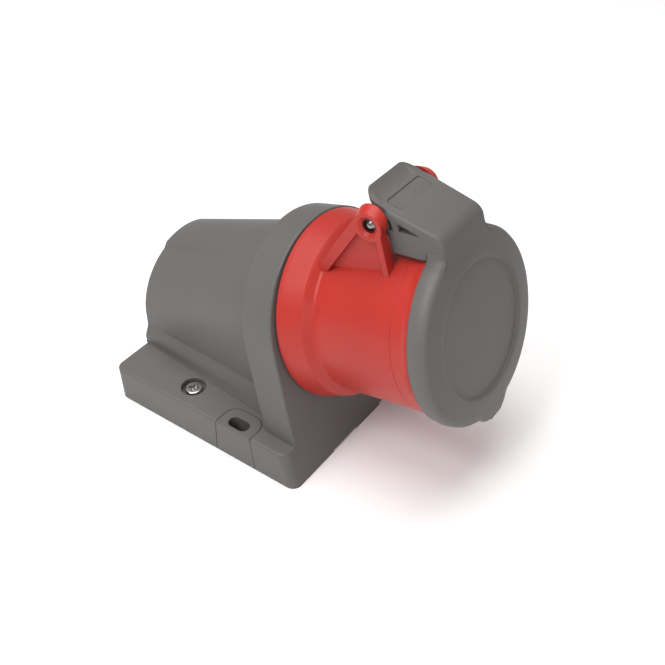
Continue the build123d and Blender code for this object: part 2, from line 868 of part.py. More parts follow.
def lid_lip():
    """The small lip under the lid for lifting it."""
    lip = RectangleRounded(2 * lip_half_width, 2 * lip_corner_r + 8, lip_corner_r)
    low = lid_edge - lip_depth
    solid = Pos(0, -lip_reach + lip_corner_r + 4, low) * extrude(lip, lip_depth - 0.3)
    return solid - disc(lid_belly_r - 1.5, low - 1, lid_edge + 1)


def arm_side_outline():
    """The whole side outline of the arm, from the thumb tab to the lid's face."""
    rear_up = arm_top_at(tab_rear_s)
    return outline([
        (tab_rear_s, rear_up - arm_top_thickness),
        (tab_rear_s, rear_up),
        (arm_top_front_s, arm_top_front_up),
        (lid_edge, arm_top_front_up - 3.0),
        (lid_edge + 0.2, lid_edge_r - 5),
        (lid_face - lid_wall + 0.5, lid_edge_r - 6),
        (lid_face - lid_wall + 0.5, arm_bottom_front_up - 0.4),
        (lid_rear, arm_bottom_front_up - 0.4),
        (arm_bottom_rear_s, arm_bottom_rear_up),
        (arm_bottom_rear_s - 0.6, hinge_up - arm_barrel_r),
        (hinge_s, hinge_up - arm_barrel_r),
        (hinge_s - arm_barrel_r * 0.8, hinge_up - arm_barrel_r * 0.6),
        (hinge_s - arm_barrel_r * 0.8, hinge_up + arm_barrel_r * 0.6),
        (tab_rear_s + 3, rear_up - arm_top_thickness - 1.8),
    ])


def thumb_lip():
    """The rounded lip across the rear end of the arm."""
    top = arm_top_at(tab_rear_s)
    points = [
        (tab_rear_s, top - arm_top_thickness),
        (tab_rear_s, top + tab_lip_rise),
        (tab_rear_s + tab_lip_length * 0.75, arm_top_at(tab_rear_s + tab_lip_length * 0.75) + tab_lip_rise),
        (tab_rear_s + tab_lip_length, arm_top_at(tab_rear_s + tab_lip_length) - 0.2),
        (tab_rear_s + tab_lip_length, arm_top_at(tab_rear_s + tab_lip_length) - arm_top_thickness),
    ]
    lip = across(outline(points), -arm_half_width, arm_half_width)
    crosswise = lip.edges().filter_by(Axis.X).sort_by(Axis.Y)[-2:]
    lip = fillet(crosswise, tab_lip_r)
    return lip


def collar_space():
    """The room kept free round the collar under the arm."""
    return turned([
        (0, tab_rear_s - 20),
        (seam_r + arm_gap, tab_rear_s - 20),
        (seam_r + arm_gap, seam_at),
        (seam_r + arm_gap + 0.4, flare_end - 3.5),
        (flare_r + arm_gap, flare_end - 0.6),
        (flare_r + arm_gap, lid_rear - 0.1),
        (0, lid_rear - 0.1),
    ])


def tab_sides():
    """What is cut off both sides of the thumb tab, which is narrower than the arm."""
    blend_at = tab_rear_s + tab_lip_length + 1.0
    width = arm_half_width + 1
    kept_length = 30
    kept = RectangleRounded(2 * tab_half_width, kept_length, tab_corner_r)
    rest = Pos(0, -(tab_rear_s + blend_at) / 2) * Rectangle(2 * width, blend_at - tab_rear_s)
    rest -= Pos(0, -tab_rear_s - kept_length / 2) * kept
    for side in (-1, 1):
        rest = rest + outline([
            (side * tab_half_width, -blend_at),
            (side * width, -blend_at),
            (side * width, -blend_at - tab_blend_length * 2),
        ])
    low = hinge_up + arm_barrel_r * 0.7
    plan = Plane(origin=(0, low, 0), x_dir=(1, 0, 0), z_dir=(0, 1, 0))
    return plan.location * extrude(rest, arm_top_at(tab_rear_s) + tab_lip_rise + 1 - low)


def arm_block():
    """The arm's outer form with its rounded top edges and the thumb lip."""
    arm = across(arm_side_outline(), -arm_half_width, arm_half_width)
    nose = [e for e in arm.edges().filter_by(Axis.X)
            if e.center().Y > arm_top_front_up - 4 and e.center().Z > arm_top_front_s - 1]
    arm = fillet(nose, arm_nose_r * 0.6)
    rims = [e for e in arm.edges() if e.length > 15 and e.center().Y > arm_top_front_up
            and abs(e.center().X) > arm_half_width - 0.01]
    arm = fillet(rims, arm_edge_r)
    return arm + thumb_lip() - tab_sides()


def arm_window():
    """The slits in the cheeks under the top, on both sides of a rib."""
    under = arm_top_thickness + 0.7
    rear = hinge_s + arm_barrel_r
    window = outline([
        (rear, arm_top_at(rear) - under),
        (arm_window_front_s, arm_top_at(arm_window_front_s) - under),
        (arm_rib_s + 3, arm_top_at(arm_rib_s + 3) - under - arm_window_drop * 0.5),
        (rear, arm_top_at(rear) - under - arm_window_drop),
    ])
    rib = outline([
        (arm_rib_s - arm_rib_width / 2 - 0.6, 0),
        (arm_rib_s - arm_rib_width / 2 - 0.6, 100),
        (arm_rib_s + arm_rib_width / 2, 100),
        (arm_rib_s + arm_rib_width / 2, 0),
    ])
    return across(window - rib, -arm_half_width - 1, arm_half_width + 1)


def thumb_groove():
    """The shallow strip across the top of the arm, in front of the thumb lip."""
    groove_s = tab_rear_s + tab_lip_length + groove_length / 2 + 0.2
    top_plane = Plane(
        origin=(0, arm_top_at(groove_s), groove_s), x_dir=(1, 0, 0), z_dir=(0, 1, -arm_slope))
    groove = extrude(RectangleRounded(2 * groove_half_width, groove_length, groove_corner_r), groove_depth + 2)
    return top_plane.location * (Pos(0, 0, -groove_depth) * groove)


def lid_arm():
    """The hollow arm that carries the lid from the hinge, with its thumb tab."""
    inside = arm_half_width - arm_cheek
    hollow = outline([
        (tab_rear_s - 1, arm_top_at(tab_rear_s - 1) - arm_top_thickness),
        (lid_rear - 1, arm_top_at(lid_rear - 1) - arm_top_thickness),
        (lid_rear - 1, arm_bottom_front_up - 5),
        (tab_rear_s - 1, arm_bottom_front_up - 5),
    ])
    arm = arm_block() - across(hollow, -inside, inside)
    arm = arm - arm_window() - thumb_groove() - collar_space()
    hole = SIDE * (Pos(hinge_s, hinge_up) * Circle(pin_r + running_gap))
    arm -= Pos(arm_half_width + 1, 0, 0) * extrude(hole, 2 * arm_half_width + 2)
    return arm


def lid():
    """The grey lid, moulded with its arm."""
    body = lid_disc() + lid_lip()
    body = body + lid_arm()
    body -= disc(lid_skirt_inner_r - 0.01, lid_rear - 3, lid_face - lid_wall)
    return in_place(body)


def lid_seal():
    """The rubber ring in the lid that presses on the collar's mouth."""
    inner_face = lid_face - lid_wall
    return in_place(ring(lid_seal_outer_r, lid_seal_inner_r, nose_end + lid_seal_gap, inner_face))


def hinge_pin():
    """The steel pin through both ears and the arm."""
    end = ear_outer - ear_sink_depth - ear_recess_depth * 0.4
    pin = extrude(SIDE * (Pos(hinge_s, hinge_up) * Circle(pin_r)), 2 * end)
    pin = Pos(end, 0, 0) * pin
    pin = chamfer(pin.edges().filter_by(GeomType.CIRCLE), 0.3)
    return in_place(pin)


def spring_leg(across_at, angle, side, length):
    """A straight leg of wire, tangent to the coil at an angle round the pin."""
    a = radians(angle)
    start = (across_at, hinge_up + spring_mean_r * sin(a), hinge_s + spring_mean_r * cos(a))
    way = Plane(origin=start, z_dir=(0, side * cos(a), -side * sin(a)))
    return way.location * disc(spring_leg_r, -spring_wire / 2, length)


def lid_spring():
    """The torsion spring round the pin: close turns between two straight legs."""
    end = spring_pitch * (spring_turns - 1) / 2
    under_arm = 90 + degrees(atan2(arm_slope, 1))
    turns = [Plane(origin=(spring_pitch * i - end, hinge_up, hinge_s), z_dir=(1, 0, 0)).location
             * Torus(spring_mean_r, spring_wire / 2) for i in range(spring_turns)]
    coil = turns[0] + turns[1:]
    coil += spring_leg(-end, under_arm, -1, spring_arm_leg)
    coil += spring_leg(end, spring_collar_leg_angle - 90, 1, spring_collar_leg)
    return in_place(coil)


save(base_plate(), "base_plate")
save(housing_cover(), "housing_cover")
save(housing_seal(), "housing_seal")
save(cover_screws(), "cover_screws")
save(entry_grommet(), "entry_grommet")
save(socket_collar(), "socket_collar")
save(flange_seal(), "flange_seal")
save(collar_nut(), "collar_nut")
save(contact_carrier(), "contact_carrier")
save(entry_plate(), "entry_plate")
save(contact_retainer(), "contact_retainer")
save(retainer_screws(), "retainer_screws")
save(insert_clamp_ring(), "insert_clamp_ring")
for pole, pole_angle in zip(("pe", "l1", "l2", "l3", "n"), pole_angles):
    save(contact_sleeve(pole_angle), f"contact_{pole}")
save(contact_springs(), "contact_springs")
save(terminal_screws(), "terminal_screws")
save(lid(), "lid")
save(lid_seal(), "lid_seal")
save(hinge_pin(), "hinge_pin")
save(lid_spring(), "lid_spring")
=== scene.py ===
# %% [markdown]
# # A wall socket for a five-pin industrial plug
# The solids of this receptacle come from CAD, and they already have their real sizes and
# places. This lesson gives them their finish: moulded grey and red plastic, brass contacts,
# rubber seals and plated screws. It also adds a few shapes that are easier to make here, such
# as the wound spring, the dished thumb tab and the soft corners of the moulding. Every step
# works in metres, in the same frame as the solids.

# %% Load the solids as a fixed frame
import math

import bmesh
import bpy
import numpy as np
from mathutils import Matrix, Vector


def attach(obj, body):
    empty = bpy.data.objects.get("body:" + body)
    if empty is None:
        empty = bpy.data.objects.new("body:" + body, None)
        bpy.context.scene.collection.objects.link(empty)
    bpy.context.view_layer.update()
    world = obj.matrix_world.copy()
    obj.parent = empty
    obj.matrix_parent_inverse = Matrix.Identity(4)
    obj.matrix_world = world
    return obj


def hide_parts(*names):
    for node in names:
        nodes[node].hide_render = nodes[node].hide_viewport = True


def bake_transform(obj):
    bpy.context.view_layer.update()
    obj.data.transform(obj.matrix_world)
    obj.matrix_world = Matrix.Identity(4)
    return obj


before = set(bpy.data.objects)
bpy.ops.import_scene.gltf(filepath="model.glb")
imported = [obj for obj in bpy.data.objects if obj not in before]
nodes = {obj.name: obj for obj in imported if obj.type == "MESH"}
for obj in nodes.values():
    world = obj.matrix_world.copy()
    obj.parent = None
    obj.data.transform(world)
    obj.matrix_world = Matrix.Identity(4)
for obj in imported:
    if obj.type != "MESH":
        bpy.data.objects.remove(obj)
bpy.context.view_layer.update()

# %% [markdown]
# The socket leans back by fifteen degrees, so most of its shapes are easy to describe in a
# frame of their own: across, up, and along the socket's axis from the housing's face. A
# small function turns such points into places in the part's frame. It takes whole arrays,
# so a surface of thousands of points needs only one call.

# %% The socket's own frame
TILT = math.radians(15.0)
AXIS_HEIGHT = 0.0564
FACE_X = 0.0495 - AXIS_HEIGHT * math.tan(TILT)
HINGE_ALONG, HINGE_UP = 0.04035, 0.0476
SIDES = (("left", 1), ("right", -1))


def in_part(across, up, along):
    """Place = face centre + across*Y + up*(-sin t, 0, cos t) + along*(cos t, 0, sin t)."""
    x = FACE_X - up * math.sin(TILT) + along * math.cos(TILT)
    z = AXIS_HEIGHT + up * math.cos(TILT) + along * math.sin(TILT)
    return np.stack(np.broadcast_arrays(x, across, z), axis=-1)


hinge_place = in_part(0.0, HINGE_UP, HINGE_ALONG)
print("hinge at", hinge_place.round(5))

# %% [markdown]
# A new piece is a grid of points that a formula gives. This helper turns the grid into a
# mesh: each small square of the grid becomes one face. A grid that closes on itself, such as
# a tube, says so, and then its last row joins the first one. Several formulas fade from one
# shape to another, and the second helper makes such a change start and end softly.

# %% From a grid of points to a mesh
MERGE_DISTANCE = 1e-7


def grid_mesh(name, points, close_rows=False, close_columns=False):
    """Faces join point (i, j) to its neighbours (i+1, j), (i+1, j+1) and (i, j+1)."""
    rows, columns = points.shape[:2]
    i = np.arange(rows if close_rows else rows - 1)
    j = np.arange(columns if close_columns else columns - 1)
    i, j = (a.ravel() for a in np.meshgrid(i, j, indexing="ij"))
    i2, j2 = (i + 1) % rows, (j + 1) % columns
    corners = np.stack([i * columns + j, i2 * columns + j, i2 * columns + j2, i * columns + j2], axis=1)
    mesh = bpy.data.meshes.new(name)
    mesh.from_pydata(points.reshape(-1, 3).tolist(), [], corners.tolist())
    work = bmesh.new()
    work.from_mesh(mesh)
    bmesh.ops.remove_doubles(work, verts=work.verts, dist=MERGE_DISTANCE)
    work.to_mesh(mesh)
    work.free()
    mesh.shade_smooth()
    piece = bpy.data.objects.new(name, mesh)
    bpy.context.scene.collection.objects.link(piece)
    return piece


def soft(t):
    """t*t*(3 - 2t): runs from 0 to 1 with a level start and end."""
    return t * t * (3 - 2 * t)


# %% [markdown]
# The camera stands where the photograph's camera stood: above, in front and to the right,
# about forty centimetres away, with a normal lens. The picture's sides aren't quite level,
# so the camera is rolled a little, and a small shift puts the object where it is in the
# photograph. All these numbers come from fitting the object's corners to the photograph.

# %% Camera
CAMERA_AZIMUTH, CAMERA_ELEVATION = math.radians(36.667), math.radians(40.921)
CAMERA_DISTANCE, CAMERA_ROLL = 0.38864, math.radians(-1.346)
LENS_MM, SENSOR_MM = 50.1, 36.0
SHIFT_RIGHT, SHIFT_UP = -0.0041, 0.0151
LOOKED_AT = Vector((0.0325, 0.0, 0.034))


def place_camera():
    """The view direction is set by two angles, and the roll turns the camera about it."""
    back = Vector((
        math.sin(CAMERA_AZIMUTH) * math.cos(CAMERA_ELEVATION),
        -math.cos(CAMERA_AZIMUTH) * math.cos(CAMERA_ELEVATION),
        math.sin(CAMERA_ELEVATION),
    ))
    right = Vector((0, 0, 1)).cross(back).normalized()
    up = back.cross(right)
    side = right * math.cos(CAMERA_ROLL) + up * math.sin(CAMERA_ROLL)
    top = up * math.cos(CAMERA_ROLL) - right * math.sin(CAMERA_ROLL)
    data = bpy.data.cameras.new("camera")
    data.lens, data.sensor_width = LENS_MM, SENSOR_MM
    data.shift_x, data.shift_y = SHIFT_RIGHT, SHIFT_UP
    data.clip_start, data.clip_end = 0.01, 20.0
    camera = bpy.data.objects.new("camera", data)
    bpy.context.scene.collection.objects.link(camera)
    turn = Matrix((side, top, back)).transposed().to_4x4()
    camera.matrix_world = Matrix.Translation(LOOKED_AT + back * CAMERA_DISTANCE) @ turn
    bpy.context.scene.camera = camera
    return camera


camera = place_camera()
print("camera at", [round(v, 4) for v in camera.location])

# %% [markdown]
# A product photograph is taken on a sweep of white paper, lit by large soft lamps. The
# floor here is a very large pale sheet. Under the object it is a little warm, because the
# red collar throws its own colour on the paper. The biggest lamp hangs almost overhead, so
# the shadow stays close to the object.

# %% Floor and light
FLOOR_HALF = 1.5
LAMPS_AIM = Vector((0.02, 0, 0.05))
WORLD_STRENGTH = 0.32


def add_floor():
    """A flat square grid on z = 0, three metres wide."""
    t = np.linspace(-FLOOR_HALF, FLOOR_HALF, 9)
    x, y = np.meshgrid(t, t, indexing="ij")
    floor = grid_mesh("paper_floor", np.stack([x, y, np.zeros_like(x)], axis=-1))
    paper = bpy.data.materials.new("white_paper")
    paper.use_nodes = True
    shader = paper.node_tree.nodes["Principled BSDF"]
    shader.inputs["Base Color"].default_value = (0.93, 0.93, 0.925, 1)
    shader.inputs["Roughness"].default_value = 0.85
    floor.data.materials.append(paper)
    return floor


def add_lamp(name, place, side, watts):
    """A square lamp at the place, turned to look at the object's middle."""
    data = bpy.data.lights.new(name, "AREA")
    data.shape, data.size, data.size_y = "RECTANGLE", side, side
    data.energy = watts
    lamp = bpy.data.objects.new(name, data)
    lamp.location = place
    lamp.rotation_euler = (LAMPS_AIM - Vector(place)).to_track_quat("-Z", "Y").to_euler()
    bpy.context.scene.collection.objects.link(lamp)
    return lamp


add_floor()
lamps = [
    add_lamp("top_softbox", (-0.12, 0.00, 1.20), 1.0, 13.2),
    add_lamp("key_softbox", (-0.15, -0.75, 0.95), 0.5, 6.7),
    add_lamp("front_fill", (0.9, -0.9, 0.5), 0.5, 2.3),
]
world = bpy.data.worlds.new("studio")
bpy.context.scene.world = world
bpy.context.scene.view_settings.view_transform = "Standard"
world.use_nodes = True
world.node_tree.nodes["Background"].inputs["Color"].default_value = (1, 1, 1, 1)
world.node_tree.nodes["Background"].inputs["Strength"].default_value = WORLD_STRENGTH
print("lamps:", [lamp.name for lamp in lamps])

# %% [markdown]
# Every finish here is built in the same order: a base colour that varies a little, a
# roughness that varies a little, and a fine relief. These helpers add one node each, so
# that the recipes below stay short. The patterns read Object coordinates, which are real
# metres, so a scale of 900 means about one wave per millimetre.


# %% Small helpers for the finishes
class Recipe:
    """One material, with short calls that add and join its nodes."""

    def __init__(self, name):
        self.material = bpy.data.materials.new(name)
        self.material.use_nodes = True
        self.tree = self.material.node_tree
        self.shader = self.tree.nodes["Principled BSDF"]
        self.place = self.tree.nodes.new("ShaderNodeTexCoord").outputs["Object"]

    def add(self, kind, **values):
        """A node of this kind, with its inputs set by name, or joined to an output."""
        node = self.tree.nodes.new(kind)
        for key, value in values.items():
            if hasattr(node, key) and not isinstance(value, bpy.types.NodeSocket):
                setattr(node, key, value)
            else:
                self.feed(node.inputs[key.replace("_", " ").title()], value)
        return node

    def feed(self, socket, value):
        """Joins the value if it is an output, and otherwise writes it on the socket."""
        if isinstance(value, bpy.types.NodeSocket):
            self.tree.links.new(value, socket)
        else:
            socket.default_value = value

    def noise(self, scale, detail=2.0, place=None):
        """Smooth random values from 0 to 1, about `scale` waves per metre."""
        node = self.add("ShaderNodeTexNoise", scale=scale, detail=detail)
        self.feed(node.inputs["Vector"], place or self.place)
        return node.outputs["Fac"]

    def spread(self, value, low, high, start=0.3, end=0.7):
        """Stretches values between start and end to low and high."""
        node = self.add("ShaderNodeMapRange")
        for name, number in (("From Min", start), ("From Max", end), ("To Min", low), ("To Max", high)):
            node.inputs[name].default_value = number
        self.feed(node.inputs["Value"], value)
        return node.outputs["Result"]

    def mix(self, factor, first, second):
        """A colour between the first and the second."""
        node = self.add("ShaderNodeMix", data_type="RGBA")
        self.feed(node.inputs[0], factor)
        self.feed(node.inputs[6], first)
        self.feed(node.inputs[7], second)
        return node.outputs[2]

    def relief(self, heights, strength, distance, under=None):
        """Bump from a height; `under` is a bump that is already there."""
        node = self.add("ShaderNodeBump", strength=strength, distance=distance)
        self.feed(node.inputs["Height"], heights)
        if under:
            self.feed(node.inputs["Normal"], under)
        return node.outputs["Normal"]


# %% [markdown]
# The housing, lid and collar are injection moulded. The mould's steel is finely eroded, so
# the plastic has a dense, tiny grain that breaks up reflections, and the surface undulates
# very slightly where it shrank. Corners catch the light because no moulded edge is truly
# sharp. The Bevel node gives the shading of such a rounded edge on the solid as it is. The
# lid's edges are rounder than the housing's, so the lid gets a grey of its own.


# %% Moulded plastic
GREY, GREY_SHADE = (0.117, 0.111, 0.106), (0.106, 0.101, 0.097)


def moulded_plastic(name, colour, shade, roughness, edge=0.0005):
    """Cloudy colour, fine grain in roughness and relief, slow waves and shaded round edges."""
    recipe = Recipe(name)
    cloud = recipe.spread(recipe.noise(26.0, 3.0), 0.0, 1.0)
    recipe.feed(recipe.shader.inputs["Base Color"], recipe.mix(cloud, (*colour, 1), (*shade, 1)))
    fine = recipe.noise(2600.0, 2.0)
    recipe.feed(recipe.shader.inputs["Roughness"], recipe.spread(fine, roughness - 0.05, roughness + 0.06))
    corner = recipe.add("ShaderNodeBevel", samples=6, radius=edge).outputs["Normal"]
    waves = recipe.relief(recipe.noise(75.0, 1.0), 0.05, 0.002, corner)
    recipe.feed(recipe.shader.inputs["Normal"], recipe.relief(fine, 0.10, 0.0002, waves))
    recipe.shader.inputs["IOR"].default_value = 1.5
    recipe.shader.inputs["Specular IOR Level"].default_value = 0.34
    return recipe.material


grey_plastic = moulded_plastic("grey_moulding", GREY, GREY_SHADE, 0.47)
red_plastic = moulded_plastic("red_moulding", (0.43, 0.028, 0.019), (0.39, 0.024, 0.017), 0.40)
soft_grey_plastic = moulded_plastic("soft_grey_moulding", GREY, GREY_SHADE, 0.50, edge=0.0009)
dark_plastic = moulded_plastic("dark_insert", (0.021, 0.021, 0.022), (0.017, 0.017, 0.018), 0.50)
print("plastics:", grey_plastic.name, red_plastic.name, soft_grey_plastic.name, dark_plastic.name)

# %% [markdown]
# The seals and the cable grommet are rubber. Rubber is dull, with a dusty bloom on it, so
# its roughness is high and its colour goes a little paler in soft patches.


# %% Rubber
def rubber(name, colour, bloom):
    """Dull, with paler dusty patches."""
    recipe = Recipe(name)
    dust = recipe.spread(recipe.noise(180.0, 4.0), 0.0, 0.5)
    recipe.feed(recipe.shader.inputs["Base Color"], recipe.mix(dust, (*colour, 1), (*bloom, 1)))
    recipe.feed(recipe.shader.inputs["Roughness"], recipe.spread(recipe.noise(600.0), 0.72, 0.86))
    recipe.feed(recipe.shader.inputs["Normal"], recipe.relief(recipe.noise(1500.0, 3.0), 0.12, 0.0002))
    recipe.shader.inputs["Specular IOR Level"].default_value = 0.3
    return recipe.material


black_rubber = rubber("black_rubber", (0.018, 0.018, 0.018), (0.035, 0.034, 0.033))
grey_rubber = rubber("grey_rubber", (0.085, 0.083, 0.080), (0.12, 0.118, 0.114))
print("rubbers:", black_rubber.name, grey_rubber.name)

# %% [markdown]
# Metal takes its look from its roughness. Turned brass has fine rings round its axis, drawn
# wire has faint streaks along it, and zinc-plated screws are bright with a soft mottle. A
# stretched noise gives all three: it is squeezed in one direction, and long in the others.


# %% Metals
def metal(name, colour, tarnish, roughness, stretch=(1.0, 1.0, 1.0), depth=0.02):
    """Fine lines along the stretched direction, and patches of tarnish."""
    recipe = Recipe(name)
    mapping = recipe.add("ShaderNodeMapping")
    mapping.inputs["Scale"].default_value = stretch
    recipe.feed(mapping.inputs["Vector"], recipe.place)
    lines = recipe.noise(900.0, 3.0, mapping.outputs["Vector"])
    patches = recipe.spread(recipe.noise(140.0, 3.0), 0.0, 1.0, 0.4, 0.75)
    recipe.feed(recipe.shader.inputs["Base Color"], recipe.mix(patches, (*colour, 1), (*tarnish, 1)))
    recipe.feed(recipe.shader.inputs["Roughness"], recipe.spread(lines, roughness - 0.06, roughness + 0.08))
    recipe.feed(recipe.shader.inputs["Normal"], recipe.relief(lines, depth, 0.0001))
    recipe.shader.inputs["Metallic"].default_value = 1.0
    return recipe.material


turned_brass = metal("turned_brass", (0.80, 0.61, 0.30), (0.62, 0.44, 0.20), 0.28, (3.0, 0.3, 0.3))
plated_screw = metal("plated_screw", (0.52, 0.51, 0.50), (0.42, 0.41, 0.40), 0.26, depth=0.01)
spring_wire = metal("spring_wire", (0.55, 0.55, 0.57), (0.40, 0.40, 0.42), 0.30, (1.0, 0.2, 1.0))
pin_chrome = metal("pin_chrome", (0.30, 0.29, 0.28), (0.26, 0.25, 0.24), 0.20, depth=0.003)
# This near-black steel colour is painted shade: it stands in for the dark gap round the hinge pin in the
# ear's hole.
painted_shade_steel = metal("painted_shade_steel", (0.035, 0.035, 0.037), (0.028, 0.028, 0.030), 0.45)
print("metals:", turned_brass.name, plated_screw.name, spring_wire.name, pin_chrome.name, painted_shade_steel.name)

# %% [markdown]
# Each solid now gets its finish. A table keeps the choice of finish in one place, by the
# names that the solids already have.

# %% Finishes on the solids
finishes = {
    "base_plate": grey_plastic,
    "housing_cover": grey_plastic,
    "lid": grey_plastic,
    "socket_collar": red_plastic,
    "collar_nut": dark_plastic,
    "contact_carrier": dark_plastic,
    "entry_plate": dark_plastic,
    "contact_retainer": dark_plastic,
    "insert_clamp_ring": dark_plastic,
    "housing_seal": black_rubber,
    "flange_seal": black_rubber,
    "lid_seal": black_rubber,
    "entry_grommet": grey_rubber,
    "cover_screws": plated_screw,
    "retainer_screws": plated_screw,
    "terminal_screws": plated_screw,
    "hinge_pin": pin_chrome,
    "contact_springs": spring_wire,
    "lid_spring": spring_wire,
    "contact_pe": turned_brass,
    "contact_l1": turned_brass,
    "contact_l2": turned_brass,
    "contact_l3": turned_brass,
    "contact_n": turned_brass,
}
for name, solid in nodes.items():
    solid.data.materials.clear()
    solid.data.materials.append(finishes[name])
print("finished solids:", len(nodes))

# %% [markdown]
# The spring that closes the lid is a wire wound round the hinge pin, with one leg under the
# lid's arm and one on the collar. A tube carried along a helix gives it. When the lid opens,
# one leg goes with the lid and the other stays, but the piece here is one fixed tube that is
# not attached to either body.

# %% The lid's spring
WIRE_RADIUS, COIL_RADIUS, COIL_PITCH = 0.0006, 0.0032, 0.00122
FIRST_TURN, LAST_TURN = math.radians(63.22), math.radians(182.0 + 1080.0)
HALF_COIL = COIL_PITCH * (LAST_TURN - FIRST_TURN) / (4 * math.pi)
ARM_LEG, COLLAR_LEG, LEG_GAP = 0.008, 0.0126, 0.0005


def spring_centreline():
    """A leg, a helix and a leg: the legs are tangent to the helix at its two ends."""
    turn = np.linspace(FIRST_TURN, LAST_TURN, 161)
    across = -HALF_COIL + COIL_PITCH * (turn - FIRST_TURN) / (2 * math.pi)
    reach = np.zeros_like(turn)
    lead = np.linspace(-ARM_LEG, -LEG_GAP, 8)
    tail = np.linspace(LEG_GAP, COLLAR_LEG, 12)
    turn = np.concatenate([np.full(8, FIRST_TURN), turn, np.full(12, LAST_TURN)])
    across = np.concatenate([np.full(8, -HALF_COIL), across, np.full(12, HALF_COIL)])
    reach = np.concatenate([lead, reach, tail])
    up = HINGE_UP + COIL_RADIUS * np.sin(turn) + reach * np.cos(turn)
    along = HINGE_ALONG + COIL_RADIUS * np.cos(turn) - reach * np.sin(turn)
    return in_part(across, up, along)


def tube(name, line, radius, sides=14):
    """Ring = line point + radius*(cos a * normal + sin a * binormal), with a point at each end."""
    tangent = np.gradient(line, axis=0)
    tangent /= np.linalg.norm(tangent, axis=1, keepdims=True)
    guide = np.array([0.0, 1.0, 0.0])
    normal = np.cross(tangent, guide)
    normal /= np.linalg.norm(normal, axis=1, keepdims=True)
    binormal = np.cross(tangent, normal)
    a = np.linspace(0, 2 * np.pi, sides, endpoint=False)[None, :, None]
    rings = line[:, None] + radius * (np.cos(a) * normal[:, None] + np.sin(a) * binormal[:, None])
    first = np.repeat(line[:1, None], sides, axis=1)
    last = np.repeat(line[-1:, None], sides, axis=1)
    return grid_mesh(name, np.concatenate([first, rings, last]), close_columns=True)


spring = tube("wound_spring", spring_centreline(), WIRE_RADIUS)
spring.data.materials.append(spring_wire)
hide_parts("lid_spring")
tuple(in_part(-HALF_COIL, HINGE_UP, HINGE_ALONG))
tuple(in_part(HALF_COIL, HINGE_UP, HINGE_ALONG))
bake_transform(spring)
print("spring faces:", len(spring.data.polygons))

# %% [markdown]
# Some shapes of the moulding are easier to add here than to the solids. Each is a profile
# carried along a path: at every station there is one closed loop of points, and the loops
# join into a skin. A point at each end closes it, so every added piece is watertight. Its
# faces look outwards, and only its real corners are left sharp.

# %% A skin over a row of closed loops
CRISP_ANGLE = math.radians(40.0)


def point_outwards(piece):
    """Turns the faces of a closed piece outwards, and keeps its real corners crisp."""
    work = bmesh.new()
    work.from_mesh(piece.data)
    bmesh.ops.recalc_face_normals(work, faces=work.faces)
    for edge in work.edges:
        edge.smooth = edge.calc_face_angle(0.0) < CRISP_ANGLE
    work.to_mesh(piece.data)
    work.free()


def dress(piece, body, finish):
    """Gives a new closed piece its finish, and says which body it moves with."""
    point_outwards(piece)
    piece.data.materials.append(finish)
    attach(piece, body)
    return piece


def skin(name, loops, body, finish):
    """Loop k is station k; the first and last loops shrink to their middles and close the ends."""
    first = np.repeat(loops[:1].mean(axis=1, keepdims=True), loops.shape[1], axis=1)
    last = np.repeat(loops[-1:].mean(axis=1, keepdims=True), loops.shape[1], axis=1)
    piece = grid_mesh(name, np.concatenate([first, loops, last]), close_columns=True)
    return dress(piece, body, finish)


# %% [markdown]
# The hood doesn't stand on the foot with a hard corner. Its sides flare out softly to a thin
# line where they meet the foot, with a rounder swelling at the rear. The flare hides the
# plain step of the solid below it. Its outline is a sum of two curves, one for the rear and
# one for the front, and it slides from the first to the second along the hood. Three of its
# sizes grow along the hood too, so each is given at the rear and with its growth.

# %% Flared sides of the hood
REAR_X, PLATE_BACK_X = -0.0494, 0.0302
FOOT_TOP = 0.0170
BEAD_WIDTH, BEAD_HALF_HEIGHT = 0.00028, 0.00030
FLARE_SINK = 0.0002
FLARE_TOP, WALL_Y, FOOT_Y = (0.0268, 0.0040), (0.02935, 0.00490), (0.03192, 0.00640)
BULGE_REACH = 1.38


def flare_loops(side):
    """y = wall + (foot - wall) * ((1 - u) * soft step + u * square), with u = 0 at the rear, 1 in front."""
    u = np.linspace(0.0, 1.0, 41)[:, None]
    x = REAR_X + u * (PLATE_BACK_X - REAR_X)
    top, wall, foot = (start + growth * u for start, growth in (FLARE_TOP, WALL_Y, FOOT_Y))
    t = np.linspace(0.0, 1.0, 21)[None, :]
    z = top + (FOOT_TOP + 2 * BEAD_HALF_HEIGHT - top) * t
    bulge = soft(np.clip(t * BULGE_REACH, 0.0, 1.0))
    y = wall + (foot - wall) * ((1 - u) * bulge + u * t ** 2.0)
    bead = np.linspace(-0.45 * math.pi, 0.5 * math.pi, 7)[None, :]
    bead_y = foot + BEAD_WIDTH * np.cos(bead)
    bead_z = FOOT_TOP + BEAD_HALF_HEIGHT - BEAD_HALF_HEIGHT * np.sin(bead) + 0 * u
    # The last three points close the loop inside the solid, where they can't be seen.
    sunk = FOOT_TOP - FLARE_SINK + 0 * u
    inner_y = np.concatenate([foot - 0.0004, foot - 0.0012, wall - 0.0006], axis=1)
    inner_z = np.concatenate([sunk, sunk, top - 0.0004], axis=1)
    y = np.concatenate([y, bead_y, inner_y], axis=1)
    z = np.concatenate([z, bead_z, inner_z], axis=1)
    return np.stack(np.broadcast_arrays(x, side * y, z), axis=-1)


for word, side in SIDES:
    flare = skin(f"hood_flare_{word}", flare_loops(side), "housing", grey_plastic)
print("flare faces:", len(flare.data.polygons))

# %% [markdown]
# The lid is changed a little by moving points of its surface, which needs a copy: the solid
# itself stays as it is, and the loose triangles of the copy are joined first. Places on the
# lid are easiest to find in the socket's frame, where the arm's top is one straight slope.

# %% A copy of the lid
ARM_SLOPE = -10.6 / 21.0
LOOSE_CORNERS = 2e-6
LID_CRISP_ANGLE = math.radians(28.0)


